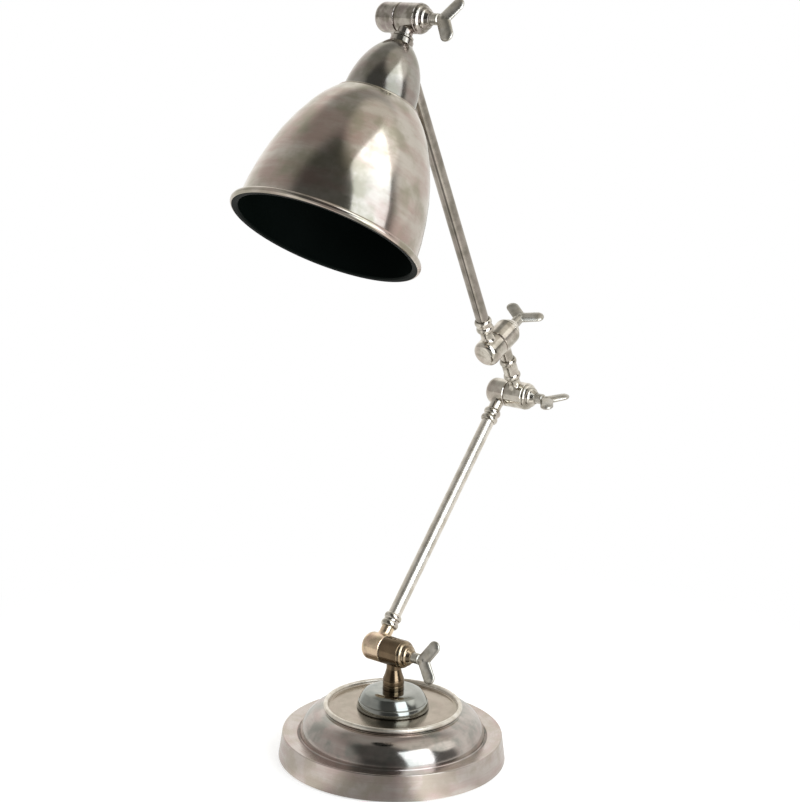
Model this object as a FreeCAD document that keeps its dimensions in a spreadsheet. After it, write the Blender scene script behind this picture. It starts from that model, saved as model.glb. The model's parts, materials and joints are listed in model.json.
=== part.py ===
"""Tabletop searchlight lamp: weighted round base, two tube arms, four friction
hinges with wing screws, and a spun bell shade.

Frame: millimetres, +Z up, origin at the centre of the foot's underside.
+X runs along the hinge pins towards the wing screws, +Y points to the back,
and the shade looks towards -Y.
"""
import FreeCAD, Part
import math
import os
import re
import Sketcher

# ---------------------------------------------------------------- sizes (mm, degrees)

SIZES = {
    # spun cover of the foot
    "base_radius": 85,
    "wall_lean": 2.6,
    "wall_height": 20,
    "edge_round": 0.8,
    "groove_radius": 70.3,
    "groove_width": 2,
    "groove_depth": 1.2,
    "ledge_height": 18.6,
    "dome_top_radius": 51.6,
    "dome_top_height": 37.6,
    "dome_bulge": 22,
    "bead_radius": 50.2,
    "bead_height": 42,
    "bead_size": 1.8,
    "plate_depth": 3.4,
    "plate_fillet": 1.6,
    "shell_wall": 1.2,
    # what the cover hides
    "pad_thickness": 1,
    "pad_inset": 4,
    "plate_clearance": 0.4,
    "floor_plate_thickness": 1.2,
    "weight_inset": 9.5,
    "weight_height": 14,
    "weight_boss_radius": 30,
    "nut_recess_radius": 14,
    "nut_recess_depth": 7.5,
    "wire_slot_width": 9,
    "wire_slot_depth": 7,
    "plate_screw_circle": 62,
    "plate_screw_count": 3,
    "plate_screw_radius": 1.5,
    "plate_screw_head": 3,
    "plate_screw_length": 9,
    "rod_radius": 5,
    "rod_bore": 3.5,
    "rod_nut_flats": 14,
    "rod_nut_height": 4,
    "rod_washer_radius": 10,
    "rod_washer_thickness": 1.2,
    "gland_height": 9.5,
    "gland_radius": 4,
    "gland_flange_radius": 5.6,
    "gland_flange_thickness": 1.6,
    "gland_flange_gap": 0.1,
    "gland_bore": 2.6,
    "gland_length": 7,
    # bun and stem
    "bun_radius": 26.9,
    "bun_ridge_height": 7.3,
    "bun_ridge_inset": 0.8,
    "bun_shoulder_radius": 13,
    "bun_height": 14.7,
    "bun_bulge": 16,
    "stem_radius": 8,
    "stem_neck_radius": 5.5,
    "stem_straight": 7.7,
    "stem_line_step": 4,
    "stem_line_depth": 0.4,
    "stem_waist": 40,
    "stem_engagement": 13,
    "rod_engagement": 8,
    # hinges: two clamped halves, the arm leaving each one radially
    "hinge_height": 82.2,
    "arm_offset": 7.4,
    "barrel_radius": 10.5,
    "plain_half_length": 16.5,
    "domed_half_length": 18,
    "domed_half_round": 5,
    "barrel_wall": 2.2,
    "barrel_end_wall": 2.4,
    "post_radius": 5,
    "edge_break": 0.4,
    "friction_ring_thickness": 0.8,
    "screw_radius": 2.5,
    "screw_reach": 13,
    "neck_radius": 4.9,
    "neck_flare": 1.4,
    "neck_flare_radius": 7,
    "neck_flare_end": 13,
    "neck_length": 17,
    "link_neck_length": 20,
    "spigot_radius": 4,
    "spigot_length": 4.5,
    "wire_bore": 2.8,
    "wire_clearance": 1,
    "stem_spigot_length": 4.5,
    "head_neck_length": 13.8,
    "head_neck_radius": 5.4,
    "nipple_radius": 4,
    # stepped washer between barrel and wing screw
    "nose_ring_length": 2.9,
    "nose_ring_fall": 2.2,
    "nose_ring_round": 3.2,
    "nose_groove_length": 0.5,
    "nose_groove_depth": 0.6,
    "nose_step_round": 2.8,
    "nose_step_length": 2.6,
    "nose_neck_radius": 6.2,
    "nose_tip_radius": 4.6,
    "nose_length": 8.6,
    # wing screw
    "screw_collar_radius": 4,
    "screw_collar_length": 6.4,
    "wing_hub_radius": 4.4,
    "wing_hub_length": 6.4,
    "wing_length": 14.7,
    "wing_half_width": 4,
    "wing_thickness": 4,
    "wing_edge_round": 1.7,
    "wing_angle": 56,
    "base_wing_turn": 14,
    "elbow_wing_turn": 80,
    "twist_wing_turn": 14.5,
    "head_wing_turn": 30,
    # tubes and their ringed collars
    "tube_radius": 5,
    "tube_wall": 1,
    "collar_waist": 5.8,
    "collar_length": 10.5,
    "collar_ring_length": 4.6,
    "collar_ring_round": 3.4,
    "link_ring_length": 4.6,
    # the arms' lengths, hinge axis to hinge axis, and how they lean at rest
    "lower_arm_length": 227.5,
    "link_length": 55,
    "upper_arm_length": 279.6,
    "lower_arm_lean": 41,
    "upper_arm_lean": 27.3,
    "shade_tilt": 31.5,
    # head, measured from its hinge axis along the shade's own axis
    "head_collar_radius": 8.2,
    "head_collar_waist": 6.8,
    "head_collar_foot": 2,
    "cap_seat_radius": 8.8,
    "cap_top": 20.8,
    "cap_shoulder_radius": 20.5,
    "cap_shoulder": 37.5,
    "cap_radius": 25.2,
    "cap_bottom": 66,
    "cap_top_bulge": 45,
    "cap_side_bulge": 68,
    "cap_wall": 1,
    "shade_wall": 1.1,
    "shade_hole_radius": 14.1,
    "shade_bead_radius": 28,
    "shade_bead_size": 1.4,
    "shade_top_radius": 42.7,
    "shade_top": 84,
    "shade_middle_radius": 56.6,
    "shade_middle": 120,
    "shade_mouth_radius": 62.3,
    "shade_lip_height": 5.1,
    "shade_length": 166.6,
    "shade_crown_bulge": 71,
    "shade_upper_bulge": 158,
    "shade_lower_bulge": 196,
    "lip_size": 2.4,
    # lampholder and bulb
    "holder_top": 33,
    "holder_boss_radius": 7,
    "holder_shoulder": 37,
    "holder_radius": 13.9,
    "holder_bottom": 74,
    "holder_wall": 1.8,
    "holder_floor": 45,
    "shade_ring_radius": 18,
    "shade_ring_length": 4,
    "lock_nut_flats": 12,
    "lock_nut_height": 4,
    "socket_radius": 7.7,
    "socket_wall": 0.5,
    "socket_length": 23,
    "contact_radius": 2.6,
    "contact_height": 1.5,
    "bulb_cap_radius": 6.9,
    "bulb_cap_length": 25,
    "bulb_neck_radius": 8,
    "bulb_radius": 22.5,
    "bulb_glass_length": 50,
    "bulb_wall": 1,
    # clearances
    "slide_fit": 0.05,
    "face_gap": 0.1,
}

doc = FreeCAD.newDocument("searchlight_lamp")
sheet = doc.addObject("Spreadsheet::Sheet", "sizes")
for row, (alias, number) in enumerate(SIZES.items(), start=1):
    sheet.set(f"A{row}", alias)
    sheet.set(f"B{row}", str(number))
    sheet.setAlias(f"B{row}", alias)
doc.recompute()

X = FreeCAD.Vector(1, 0, 0)
Z = FreeCAD.Vector(0, 0, 1)
ORIGIN = FreeCAD.Vector(0, 0, 0)
parts = []


# ---------------------------------------------------------------- drawing helpers

def value(formula):
    """A formula's number: sheet names and numbers, products without spaces, signs with them."""
    total = 0.0
    sign = 1.0
    for word in formula.split():
        if word in ("+", "-"):
            sign = 1.0 if word == "+" else -1.0
            continue
        term = sign
        for factor in word.split("*"):
            term *= sheet.get(factor) if factor in SIZES else float(factor)
        total += term
    return total


def bound(formula):
    """The same formula as an expression on the sheet."""
    return re.sub(r"[a-z_]+[a-z]", lambda name: "sizes." + name.group(), formula)


def frame(origin, along, across):
    """A placement with local Z along one direction and local X across it."""
    return FreeCAD.Placement(origin, FreeCAD.Rotation(across, along.cross(across), along, "ZXY"))


def new_body(label, place):
    body = doc.addObject("PartDesign::Body", label)
    body.Label = label
    body.Placement = place
    parts.append(body)
    return body


def new_sketch(body, name, plane, shift=None):
    """A sketch on one of the body's own planes, moved in it by bound offsets."""
    support = next(item for item in body.Origin.OriginFeatures if item.Role == plane)
    sketch = body.newObject("Sketcher::SketchObject", name)
    sketch.AttachmentSupport = (support, [""])
    sketch.MapMode = "FlatFace"
    for axis, formula in (shift or {}).items():
        sketch.setExpression(f"AttachmentOffset.Base.{axis}", bound(formula))
    return sketch


def pin(sketch, geometry, point, corner):
    """Tie one end of a line or arc to its two bound coordinates."""
    for kind, line, formula in (("DistanceX", -2, corner[0]), ("DistanceY", -1, corner[1])):
        if formula == "0":
            sketch.addConstraint(Sketcher.Constraint("PointOnObject", geometry, point, line))
            continue
        number = value(formula)
        index = sketch.addConstraint(Sketcher.Constraint(kind, -1, 1, geometry, point, number))
        sketch.setExpression(f"Constraints[{index}]", bound(formula))


def arc_between(start, end, radius, side):
    """The shorter arc from start to end, its centre left of the way for "ccw"."""
    chord = end - start
    middle = (start + end) * 0.5
    rise = math.sqrt(radius ** 2 - (chord.Length / 2) ** 2)
    left = FreeCAD.Vector(-chord.y, chord.x, 0).normalize()
    centre = middle + left * (rise if side == "ccw" else -rise)
    first, last = (start, end) if side == "ccw" else (end, start)
    angles = [math.atan2(spot.y - centre.y, spot.x - centre.x) for spot in (first, last)]
    return Part.ArcOfCircle(Part.Circle(centre, Z, radius), angles[0], angles[1])


def draw(sketch, outline):
    """A closed outline: corners (x, y), or (x, y, side, radius) where an arc leaves the corner."""
    spots = [FreeCAD.Vector(value(corner[0]), value(corner[1]), 0) for corner in outline]
    ends = []
    for number, corner in enumerate(outline):
        start, end = spots[number], spots[(number + 1) % len(spots)]
        if len(corner) == 2:
            index = sketch.addGeometry(Part.LineSegment(start, end), False)
            ends.append((index, 1, 2))
            continue
        side, radius = corner[2:]
        index = sketch.addGeometry(arc_between(start, end, value(radius), side), False)
        datum = sketch.addConstraint(Sketcher.Constraint("Radius", index, value(radius)))
        sketch.setExpression(f"Constraints[{datum}]", bound(radius))
        ends.append((index, 1, 2) if side == "ccw" else (index, 2, 1))
    for number, corner in enumerate(outline):
        index, first, _ = ends[number]
        before, _, last = ends[number - 1]
        sketch.addConstraint(Sketcher.Constraint("Coincident", before, last, index, first))
        pin(sketch, index, first, corner)


def revolve(body, kind, name, outlines, about="V_Axis", shift=None):
    """Turn closed outlines, drawn in the XZ plane, into or out of the body."""
    sketch = new_sketch(body, f"{body.Name}_{name}_sketch", "XZ_Plane", shift)
    for outline in outlines:
        draw(sketch, outline)
    feature = body.newObject(f"PartDesign::{kind}", f"{body.Name}_{name}")
    feature.Profile = (sketch, [""])
    feature.ReferenceAxis = (sketch, [about])
    feature.Angle = 360
    return feature


def turned(label, place, outline, about="V_Axis"):
    """A piece turned from one outline."""
    body = new_body(label, place)
    revolve(body, "Revolution", "turning", [outline], about)
    return body


def ring_sketch(body, name, formula, centre=("0", "0"), shift=None):
    """A sketch of one circle, parallel to the XY plane, with a bound radius."""
    sketch = new_sketch(body, f"{body.Name}_{name}_sketch", "XY_Plane", shift)
    middle = FreeCAD.Vector(value(centre[0]), value(centre[1]), 0)
    index = sketch.addGeometry(Part.Circle(middle, Z, value(formula)), False)
    pin(sketch, index, 3, centre)
    datum = sketch.addConstraint(Sketcher.Constraint("Radius", index, value(formula)))
    sketch.setExpression(f"Constraints[{datum}]", bound(formula))
    return sketch


def extrude(body, kind, name, sketch, length, midplane=False, backwards=False):
    feature = body.newObject(f"PartDesign::{kind}", f"{body.Name}_{name}")
    feature.Profile = (sketch, [""])
    feature.setExpression("Length", bound(length))
    feature.Midplane = midplane
    feature.Reversed = backwards
    return feature


# ---------------------------------------------------------------- where the hinges are

def swung(degrees, up=1.0):
    """A direction in the YZ plane, leaning back from the vertical by an angle."""
    angle = math.radians(degrees)
    return FreeCAD.Vector(0, math.sin(angle), up * math.cos(angle))


lower_way = swung(value("lower_arm_lean"))
upper_way = swung(-value("upper_arm_lean"))
twist_way = X.cross(upper_way).negative()
shade_way = swung(-value("shade_tilt"), up=-1.0)
twist_wing_turn = math.radians(value("twist_wing_turn"))
twist_wing_way = X * math.cos(twist_wing_turn) - upper_way * math.sin(twist_wing_turn)

offset = value("arm_offset")
base_hinge = FreeCAD.Vector(-offset, 0, value("hinge_height"))
elbow_hinge = base_hinge + lower_way * value("lower_arm_length")
twist_hinge = elbow_hinge + X * offset + upper_way * value("link_length") - twist_way * offset
head_hinge = twist_hinge - twist_way * offset + upper_way * value("upper_arm_length") + X * offset

UPRIGHT = frame(ORIGIN, Z, X)
LOWER_ARM = frame(base_hinge - X * offset, lower_way, X)
LINK = frame(elbow_hinge + X * offset, upper_way, X)
UPPER_ARM = frame(twist_hinge - twist_way * offset, upper_way, X)
HEAD = frame(head_hinge + X * offset, shade_way, X)


# ---------------------------------------------------------------- foot

PLATE = "bead_height - plate_depth"


def gland_frame():
    """Where the gland sits on the back of the sloping wall, its local Z pointing out."""
    foot, top = value("pad_thickness"), value("wall_height - edge_round")
    slope = (value("base_radius") - value("base_radius - wall_lean")) / (top - foot)
    height = value("gland_height")
    seat = FreeCAD.Vector(0, value("base_radius") - slope * (height - foot), height)
    outward = FreeCAD.Vector(0, 1, slope).normalize()
    return frame(seat, outward, X)


def base_shell():
    """Spun cover: wall, ledge, groove, quarter-round dome, bead and top plate."""
    inner_dome = "dome_bulge - shell_wall"
    inner_edge = "bead_radius - bead_size"
    shell = turned("base_shell", UPRIGHT, [
        ("base_radius", "pad_thickness"),
        ("base_radius - wall_lean", "wall_height - edge_round", "ccw", "edge_round"),
        ("base_radius - wall_lean - edge_round", "wall_height"),
        ("groove_radius + 0.5*groove_width", "ledge_height"),
        ("groove_radius", "ledge_height - groove_depth"),
        ("groove_radius - 0.5*groove_width", "ledge_height", "ccw", "dome_bulge"),
        ("dome_top_radius", "dome_top_height"),
        ("bead_radius + 0.2*bead_size", "bead_height - 2*bead_size", "ccw", "bead_size"),
        ("bead_radius + bead_size", "bead_height - bead_size", "ccw", "bead_size"),
        ("bead_radius", "bead_height", "ccw", "bead_size"),
        (inner_edge, "bead_height - bead_size", "cw", "plate_fillet"),
        (f"{inner_edge} - plate_fillet", PLATE),
        ("rod_radius + slide_fit", PLATE),
        ("rod_radius + slide_fit", f"{PLATE} - shell_wall"),
        ("bead_radius - bead_size", f"{PLATE} - shell_wall"),
        ("dome_top_radius - 2*shell_wall", "dome_top_height - shell_wall", "cw", inner_dome),
        ("groove_radius - 0.5*groove_width - shell_wall", "ledge_height - shell_wall"),
        ("groove_radius", "ledge_height - groove_depth - shell_wall"),
        ("groove_radius + 0.5*groove_width", "ledge_height - shell_wall"),
        ("base_radius - wall_lean - shell_wall", "wall_height - shell_wall"),
        ("base_radius - shell_wall", "pad_thickness"),
    ])
    hole = ring_sketch(shell, "gland_hole", "gland_radius + slide_fit")
    hole.AttachmentOffset = gland_frame()
    extrude(shell, "Pocket", "gland_hole", hole, "2*shell_wall")


def base_weight():
    """Cast disc with a centre boss, a nut recess, screw holes and a slot for the wires."""
    floor = "pad_thickness + floor_plate_thickness"
    recess_top = f"{floor} + nut_recess_depth"
    rim = "base_radius - weight_inset"
    weight = turned("base_weight", UPRIGHT, [
        ("nut_recess_radius", floor),
        (rim, floor),
        (rim, "weight_height"),
        ("weight_boss_radius", "weight_height"),
        ("weight_boss_radius", f"{PLATE} - shell_wall"),
        ("rod_radius + slide_fit", f"{PLATE} - shell_wall"),
        ("rod_radius + slide_fit", recess_top),
        ("nut_recess_radius", recess_top),
    ])
    slot = new_sketch(weight, "wire_slot_sketch", "XY_Plane", {"z": floor})
    draw(slot, [
        ("-0.5*wire_slot_width", "0.5*nut_recess_radius"),
        ("0.5*wire_slot_width", "0.5*nut_recess_radius"),
        ("0.5*wire_slot_width", "base_radius"),
        ("-0.5*wire_slot_width", "base_radius"),
    ])
    extrude(weight, "Pocket", "wire_slot", slot, "wire_slot_depth", backwards=True)
    hole = ring_sketch(weight, "screw_hole", "plate_screw_radius + slide_fit",
                       ("0", "-1*plate_screw_circle"), {"z": floor})
    drilled = extrude(weight, "Pocket", "screw_hole", hole, "plate_screw_length", backwards=True)
    pattern = weight.newObject("PartDesign::PolarPattern", "screw_holes")
    pattern.Originals = [drilled]
    pattern.Axis = (next(item for item in weight.Origin.OriginFeatures if item.Role == "Z_Axis"), [""])
    pattern.Angle = 360
    pattern.setExpression("Occurrences", bound("plate_screw_count"))
    weight.Tip = pattern


def base_floor():
    """Steel plate that closes the foot, its countersunk screws, and the felt under it."""
    plate_radius = "base_radius - shell_wall - plate_clearance"
    top = "pad_thickness + floor_plate_thickness"
    plate = turned("floor_plate", UPRIGHT, [
        ("0", "pad_thickness"),
        (plate_radius, "pad_thickness"),
        (plate_radius, top),
        ("0", top),
    ])
    sink = new_sketch(plate, "countersink_sketch", "XZ_Plane", {"z": "plate_screw_circle"})
    draw(sink, [
        ("0", "pad_thickness"),
        ("plate_screw_head + slide_fit", "pad_thickness"),
        ("plate_screw_radius + slide_fit", top),
        ("0", top),
    ])
    cut = plate.newObject("PartDesign::Groove", "countersink")
    cut.Profile = (sink, [""])
    cut.ReferenceAxis = (sink, ["V_Axis"])
    cut.Angle = 360
    axis = next(item for item in plate.Origin.OriginFeatures if item.Role == "Z_Axis")
    pattern = plate.newObject("PartDesign::PolarPattern", "countersinks")
    pattern.Originals = [cut]
    pattern.Axis = (axis, [""])
    pattern.Angle = 360
    pattern.setExpression("Occurrences", bound("plate_screw_count"))
    plate.Tip = pattern
    turned("felt_pad", UPRIGHT, [
        ("0", "0"),
        ("base_radius - pad_inset", "0"),
        ("base_radius - pad_inset", "pad_thickness"),
        ("0", "pad_thickness"),
    ])


def plate_screws():
    """The floor plate's screws, one group of separate solids."""
    head = value("floor_plate_thickness")
    shank = value("plate_screw_length") - value("slide_fit")
    cone = Part.makeCone(value("plate_screw_head"), value("plate_screw_radius"), head)
    screw = cone.fuse(Part.makeCylinder(value("plate_screw_radius"), head + shank)).removeSplitter()
    count = int(value("plate_screw_count"))
    group = []
    for number in range(count):
        copy = screw.copy()
        copy.translate(FreeCAD.Vector(0, -value("plate_screw_circle"), value("pad_thickness")))
        copy.rotate(ORIGIN, Z, 360 * number / count)
        group.append(copy)
    screws = doc.addObject("Part::Feature", "plate_screws")
    screws.Label = "plate_screws"
    screws.Shape = Part.makeCompound(group)
    screws.Placement = UPRIGHT
    parts.append(screws)


def hex_nut(label, place, flats, height, bore, base):
    """A hexagon nut standing on a given height of its own axis, its top corners chamfered."""
    prism = doc.addObject("Part::Prism", f"{label}_prism")
    prism.Polygon = 6
    prism.setExpression("Circumradius", f"{bound(flats)} / sqrt(3)")
    prism.setExpression("Height", bound(height))
    prism.setExpression("Placement.Base.z", bound(base))
    hole = doc.addObject("Part::Cylinder", f"{label}_bore")
    hole.setExpression("Radius", bound(bore))
    hole.setExpression("Height", bound(height))
    hole.setExpression("Placement.Base.z", bound(base))
    dome = doc.addObject("Part::Cone", f"{label}_chamfer")
    dome.setExpression("Radius1", f"{bound(flats)} / sqrt(3) + {bound(height)}")
    dome.setExpression("Radius2", f"{bound(flats)} / 2 * 0.96")
    dome.setExpression("Height", bound(height))
    dome.setExpression("Placement.Base.z", bound(base))
    rounded = doc.addObject("Part::Common", f"{label}_blank")
    rounded.Base, rounded.Tool = prism, dome
    nut = doc.addObject("Part::Cut", label)
    nut.Base, nut.Tool = rounded, hole
    nut.Label = label
    nut.Placement = place
    parts.append(nut)


def base_rod():
    """Hollow threaded rod that ties stem, bun, cover and weight, with its washer and nut."""
    recess_top = "pad_thickness + floor_plate_thickness + nut_recess_depth"
    nut_top = f"{recess_top} - rod_washer_thickness"
    foot = f"{nut_top} - rod_nut_height - 0.5*rod_nut_height"
    turned("stem_rod", UPRIGHT, [
        ("rod_bore", foot),
        ("rod_radius", foot),
        ("rod_radius", f"{PLATE} + bun_height + rod_engagement"),
        ("rod_bore", f"{PLATE} + bun_height + rod_engagement"),
    ])
    turned("rod_washer", UPRIGHT, [
        ("rod_radius + slide_fit", nut_top),
        ("rod_washer_radius", nut_top),
        ("rod_washer_radius", recess_top),
        ("rod_radius + slide_fit", recess_top),
    ])
    hex_nut("rod_nut", UPRIGHT, "rod_nut_flats", "rod_nut_height", "rod_radius + slide_fit",
            f"{nut_top} - rod_nut_height")


def cord_gland():
    """Flanged bush in the back of the cover's wall."""
    turned("cord_gland", gland_frame(), [
        ("gland_bore", "-1*gland_length"),
        ("gland_radius", "-1*gland_length"),
        ("gland_radius", "gland_flange_gap"),
        ("gland_flange_radius", "gland_flange_gap"),
        ("gland_flange_radius", "gland_flange_gap + 0.6*gland_flange_thickness"),
        ("gland_flange_radius - 0.4*gland_flange_thickness", "gland_flange_gap + gland_flange_thickness"),
        ("gland_bore", "gland_flange_gap + gland_flange_thickness"),
    ])


def bun_and_stem():
    """Round bun on the plate, and the stem with two fine lines and a drawn-in neck."""
    ridge = f"{PLATE} + bun_ridge_height"
    turned("base_bun", UPRIGHT, [
        ("rod_radius + slide_fit", PLATE),
        ("bun_radius - 0.5*bun_ridge_inset", PLATE),
        ("bun_radius", ridge),
        ("bun_radius - bun_ridge_inset", f"{ridge} + 0.5*bun_ridge_inset", "ccw", "bun_bulge"),
        ("bun_shoulder_radius", f"{PLATE} + bun_height"),
        ("rod_radius + slide_fit", f"{PLATE} + bun_height"),
    ])
    foot = f"{PLATE} + bun_height"
    first = f"{foot} + stem_straight - stem_line_step"
    second = f"{foot} + stem_straight"
    rod_top = f"{foot} + rod_engagement + face_gap"
    top = "hinge_height - stem_engagement"
    turned("stem", UPRIGHT, [
        ("rod_radius + slide_fit", foot),
        ("stem_radius", foot),
        ("stem_radius", f"{first} - stem_line_depth"),
        ("stem_radius - stem_line_depth", first),
        ("stem_radius", f"{first} + stem_line_depth"),
        ("stem_radius", f"{second} - stem_line_depth"),
        ("stem_radius - stem_line_depth", second),
        ("stem_radius", f"{second} + stem_line_depth", "cw", "stem_waist"),
        ("stem_neck_radius", top),
        ("spigot_radius + slide_fit", top),
        ("spigot_radius + slide_fit", f"{top} - stem_spigot_length"),
        ("rod_bore", f"{top} - stem_spigot_length"),
        ("rod_bore", rod_top),
        ("rod_radius + slide_fit", rod_top),
    ])


# ---------------------------------------------------------------- hinges

SEAM = "0.5*friction_ring_thickness"


def knuckle(label, hinge, outward, along, domed, neck):
    """One half of a hinge barrel with the neck that carries its arm.

    Local X runs outward from the seam on the hinge's axis, local Z along the arm.
    """
    body = new_body(label, frame(hinge, along, outward))
    length = "domed_half_length" if domed else "plain_half_length"
    face = f"{SEAM} + face_gap" if domed else SEAM
    end = [
        (f"{length} - domed_half_round", "barrel_radius", "cw", "domed_half_round"),
        (length, "barrel_radius - domed_half_round"),
    ] if domed else [
        (f"{length} - edge_break", "barrel_radius"),
        (length, "barrel_radius - edge_break"),
    ]
    revolve(body, "Revolution", "barrel", [[
        (face, "0"),
        (face, "barrel_radius - edge_break"),
        (f"{face} + edge_break", "barrel_radius"),
        *end,
        (length, "0"),
    ]], "H_Axis")
    arm_axis = {"x": "arm_offset"}
    revolve(body, "Revolution", "neck", [neck["outline"]], shift=arm_axis)
    inner_end = f"{length} - barrel_end_wall"
    bore_end = f"{'screw_reach' if domed else length} + wire_clearance"
    revolve(body, "Groove", "hollow", [[
        ("0", "post_radius"),
        (inner_end, "post_radius"),
        (inner_end, "barrel_radius - barrel_wall"),
        ("0", "barrel_radius - barrel_wall"),
    ], [
        ("0", "0"),
        (bore_end, "0"),
        (bore_end, "screw_radius + slide_fit"),
        ("0", "screw_radius + slide_fit"),
    ]], "H_Axis")
    revolve(body, "Groove", "wire_way", [[
        ("0", "post_radius + wire_clearance"),
        (neck["bore"], "post_radius + wire_clearance"),
        (neck["bore"], neck["end"]),
        ("0", neck["end"]),
    ]], shift=arm_axis)
    return body


def neck_with_spigot(radius, flare_end, length, spigot):
    """A neck that flares into the barrel and ends in a spigot for the next piece."""
    tip = f"{length} + {spigot}"
    return {
        "outline": [
            ("0", "post_radius"),
            (f"{radius} + neck_flare", "post_radius"),
            (f"{radius} + neck_flare", "barrel_radius - barrel_wall", "cw", "neck_flare_radius"),
            (radius, flare_end),
            (radius, length),
            ("spigot_radius", length),
            ("spigot_radius", tip),
            ("0", tip),
        ],
        "bore": "wire_bore",
        "end": tip,
    }


ARM_NECK = neck_with_spigot("neck_radius", "neck_flare_end", "neck_length", "spigot_length")
LINK_NECK = neck_with_spigot("neck_radius", "neck_flare_end", "link_neck_length", "spigot_length")
STEM_NECK = {
    "outline": [
        ("0", "post_radius"),
        ("stem_neck_radius", "post_radius"),
        ("stem_neck_radius", "stem_engagement"),
        ("spigot_radius", "stem_engagement"),
        ("spigot_radius", "stem_engagement + stem_spigot_length"),
        ("0", "stem_engagement + stem_spigot_length"),
    ],
    "bore": "wire_bore",
    "end": "stem_engagement + stem_spigot_length",
}
HEAD_NECK = {
    "outline": [
        ("0", "post_radius"),
        ("head_neck_radius", "post_radius"),
        ("head_neck_radius", "head_neck_length"),
        ("0", "head_neck_length"),
    ],
    "bore": "nipple_radius + slide_fit",
    "end": "head_neck_length",
}


def clamp_parts(name, hinge, axis, wing_way):
    """Friction ring in the seam, stepped nose washer on the plain half, and the wing screw.

    Local X is the hinge's axis; the wing screw's wings lie in the local XZ plane.
    """
    place = frame(hinge, wing_way, axis)
    turned(f"{name}_friction_ring", place, [
        (f"-1*{SEAM}", "barrel_radius - barrel_wall"),
        (f"-1*{SEAM}", "barrel_radius - edge_break"),
        (SEAM, "barrel_radius - edge_break"),
        (SEAM, "barrel_radius - barrel_wall"),
    ], "H_Axis")
    start = "plain_half_length"
    ring_end = f"{start} + nose_ring_length"
    step = f"{ring_end} + nose_groove_length"
    step_end = f"{step} + nose_step_length"
    tip = f"{start} + nose_length"
    ring_foot = "barrel_radius - nose_ring_fall"
    turned(f"{name}_nose_washer", place, [
        (start, "screw_radius + slide_fit"),
        (start, "barrel_radius - 0.5*edge_break", "cw", "nose_ring_round"),
        (ring_end, ring_foot),
        (f"{ring_end} + 0.5*nose_groove_length", f"{ring_foot} - nose_groove_depth"),
        (step, f"{ring_foot} - 0.5*nose_groove_depth", "cw", "nose_step_round"),
        (step_end, "nose_neck_radius"),
        (tip, "nose_tip_radius"),
        (tip, "screw_radius + slide_fit"),
    ], "H_Axis")
    wing_screw(f"{name}_wing_screw", place, tip)


def wing_screw(label, place, seat):
    """Screw with a long collar, a round hub and two paddle wings spread in a V."""
    body = new_body(label, place)
    hub = f"{seat} + face_gap + screw_collar_length"
    middle = f"{hub} + 0.5*wing_hub_length"
    lean = value("wing_angle")
    for number, side in enumerate((1, -1)):
        sketch = new_sketch(body, f"{label}_wing_{number}_sketch", "XZ_Plane")
        spread = FreeCAD.Vector(value(middle), 0, 0)
        sketch.AttachmentOffset = FreeCAD.Placement(spread, FreeCAD.Rotation(Z, side * lean))
        draw(sketch, [
            ("0", "-1*wing_half_width"),
            ("wing_length", "-1*wing_half_width", "ccw", "wing_half_width"),
            ("wing_length + wing_half_width", "0", "ccw", "wing_half_width"),
            ("wing_length", "wing_half_width"),
            ("0", "wing_half_width", "ccw", "wing_half_width"),
            ("-1*wing_half_width", "0", "ccw", "wing_half_width"),
        ])
        extrude(body, "Pad", f"wing_{number}", sketch, "wing_thickness", midplane=True)
    doc.recompute()
    wings = body.Tip
    half = value("wing_thickness") / 2
    rims = []
    for number, edge in enumerate(wings.Shape.Edges, start=1):
        flat = edge.BoundBox.YLength < half / 10
        if flat and edge.BoundBox.Center.y ** 2 > half ** 2 * 0.9:
            rims.append(f"Edge{number}")
    soft = body.newObject("PartDesign::Fillet", f"{label}_soft_edges")
    soft.Base = (wings, rims)
    soft.setExpression("Radius", bound("wing_edge_round"))
    revolve(body, "Revolution", "screw", [[
        ("-1*screw_reach", "0"),
        ("-1*screw_reach", "screw_radius - edge_break"),
        ("-1*screw_reach + edge_break", "screw_radius"),
        (f"{seat} + face_gap", "screw_radius"),
        (f"{seat} + face_gap", "screw_collar_radius - edge_break"),
        (f"{seat} + face_gap + edge_break", "screw_collar_radius"),
        (hub, "screw_collar_radius - edge_break"),
        (f"{hub} + edge_break", "wing_hub_radius - edge_break"),
        (f"{hub} + 3*edge_break", "wing_hub_radius"),
        (middle, "wing_hub_radius", "cw", "wing_hub_radius"),
        (f"{middle} + wing_hub_radius", "0"),
    ]], "H_Axis")


def hinges():
    """The four hinges: a plain half with the nose washer, a domed half with the thread."""
    knuckle("base_knuckle", base_hinge, X, Z.negative(), False, STEM_NECK)
    knuckle("lower_arm_bottom_knuckle", base_hinge, X.negative(), lower_way, True, ARM_NECK)
    clamp_parts("base", base_hinge, X, swung(value("base_wing_turn")))
    knuckle("lower_arm_top_knuckle", elbow_hinge, X.negative(), lower_way.negative(), True, ARM_NECK)
    knuckle("link_lower_knuckle", elbow_hinge, X, upper_way, False, ARM_NECK)
    clamp_parts("elbow", elbow_hinge, X, swung(value("elbow_wing_turn")))
    knuckle("link_upper_knuckle", twist_hinge, twist_way, upper_way.negative(), False, LINK_NECK)
    knuckle("upper_arm_bottom_knuckle", twist_hinge, twist_way.negative(), upper_way, True, ARM_NECK)
    clamp_parts("twist", twist_hinge, twist_way, twist_wing_way)
    knuckle("upper_arm_top_knuckle", head_hinge, X.negative(), upper_way.negative(), True, ARM_NECK)
    knuckle("head_knuckle", head_hinge, X, shade_way, False, HEAD_NECK)
    clamp_parts("head", head_hinge, X, swung(value("head_wing_turn")))


# ---------------------------------------------------------------- arms

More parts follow.
